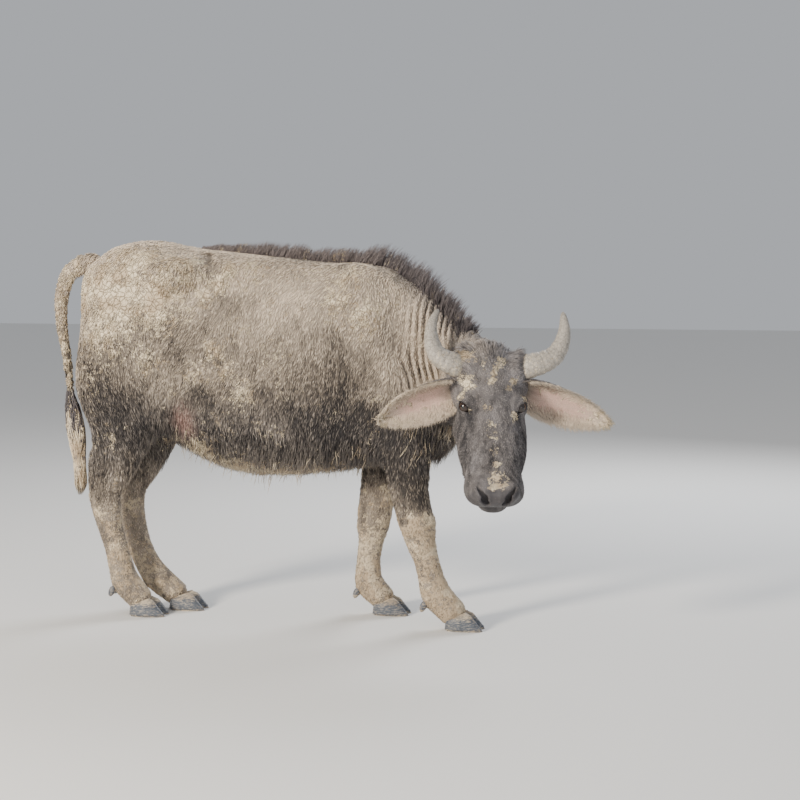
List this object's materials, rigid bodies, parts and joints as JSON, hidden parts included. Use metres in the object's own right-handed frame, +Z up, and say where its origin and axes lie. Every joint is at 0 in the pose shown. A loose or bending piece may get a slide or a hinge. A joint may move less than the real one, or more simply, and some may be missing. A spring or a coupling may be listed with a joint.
{
  "type": "water buffalo",
  "caption": "Life-size still model of a young swamp water buffalo standing with its head lowered and turned to its right, muddy shaggy coat and swept-back horns.",
  "frame": {"origin": "on the floor, under the centre of the bounding box of the whole animal", "axes": "+X forward along the body towards the chest, +Y to the animal's left, +Z up"},
  "size_m": [1.9148, 0.7562, 1.281],
  "materials": {
    "coat": "shaggy grey-brown hair with dried mud, matte",
    "face": "dark slate hide with thin short hair and pale mud patches, matte",
    "ear": "soft hairy hide, pale and pinkish inside, dark rim",
    "leg": "short hair caked with tan mud, matte",
    "hair": "long dark grey tail hair in damp locks",
    "horn": "dusty grey-tan horn with growth rings, low sheen",
    "hoof": "blue-grey horn, worn and dusty, low sheen",
    "eye": "wet dark brown eye, glossy"
  },
  "bodies": {
    "root": {"torso": "coat", "neck": "coat", "head": "face", "horn_right": "horn", "ear_right": "ear", "eye_right": "eye", "horn_left": "horn", "ear_left": "ear", "eye_left": "eye", "claw_front_right_outer": "hoof", "claw_front_right_inner": "hoof", "dewclaw_front_right_outer": "hoof", "dewclaw_front_right_inner": "hoof", "leg_front_right": "leg", "claw_front_left_outer": "hoof", "claw_front_left_inner": "hoof", "dewclaw_front_left_outer": "hoof", "dewclaw_front_left_inner": "hoof", "leg_front_left": "leg", "claw_hind_right_outer": "hoof", "claw_hind_right_inner": "hoof", "dewclaw_hind_right_outer": "hoof", "dewclaw_hind_right_inner": "hoof", "leg_hind_right": "leg", "claw_hind_left_outer": "hoof", "claw_hind_left_inner": "hoof", "dewclaw_hind_left_outer": "hoof", "dewclaw_hind_left_inner": "hoof", "leg_hind_left": "leg", "tail": "leg", "tail_switch": "hair"}
  },
  "joints": []
}
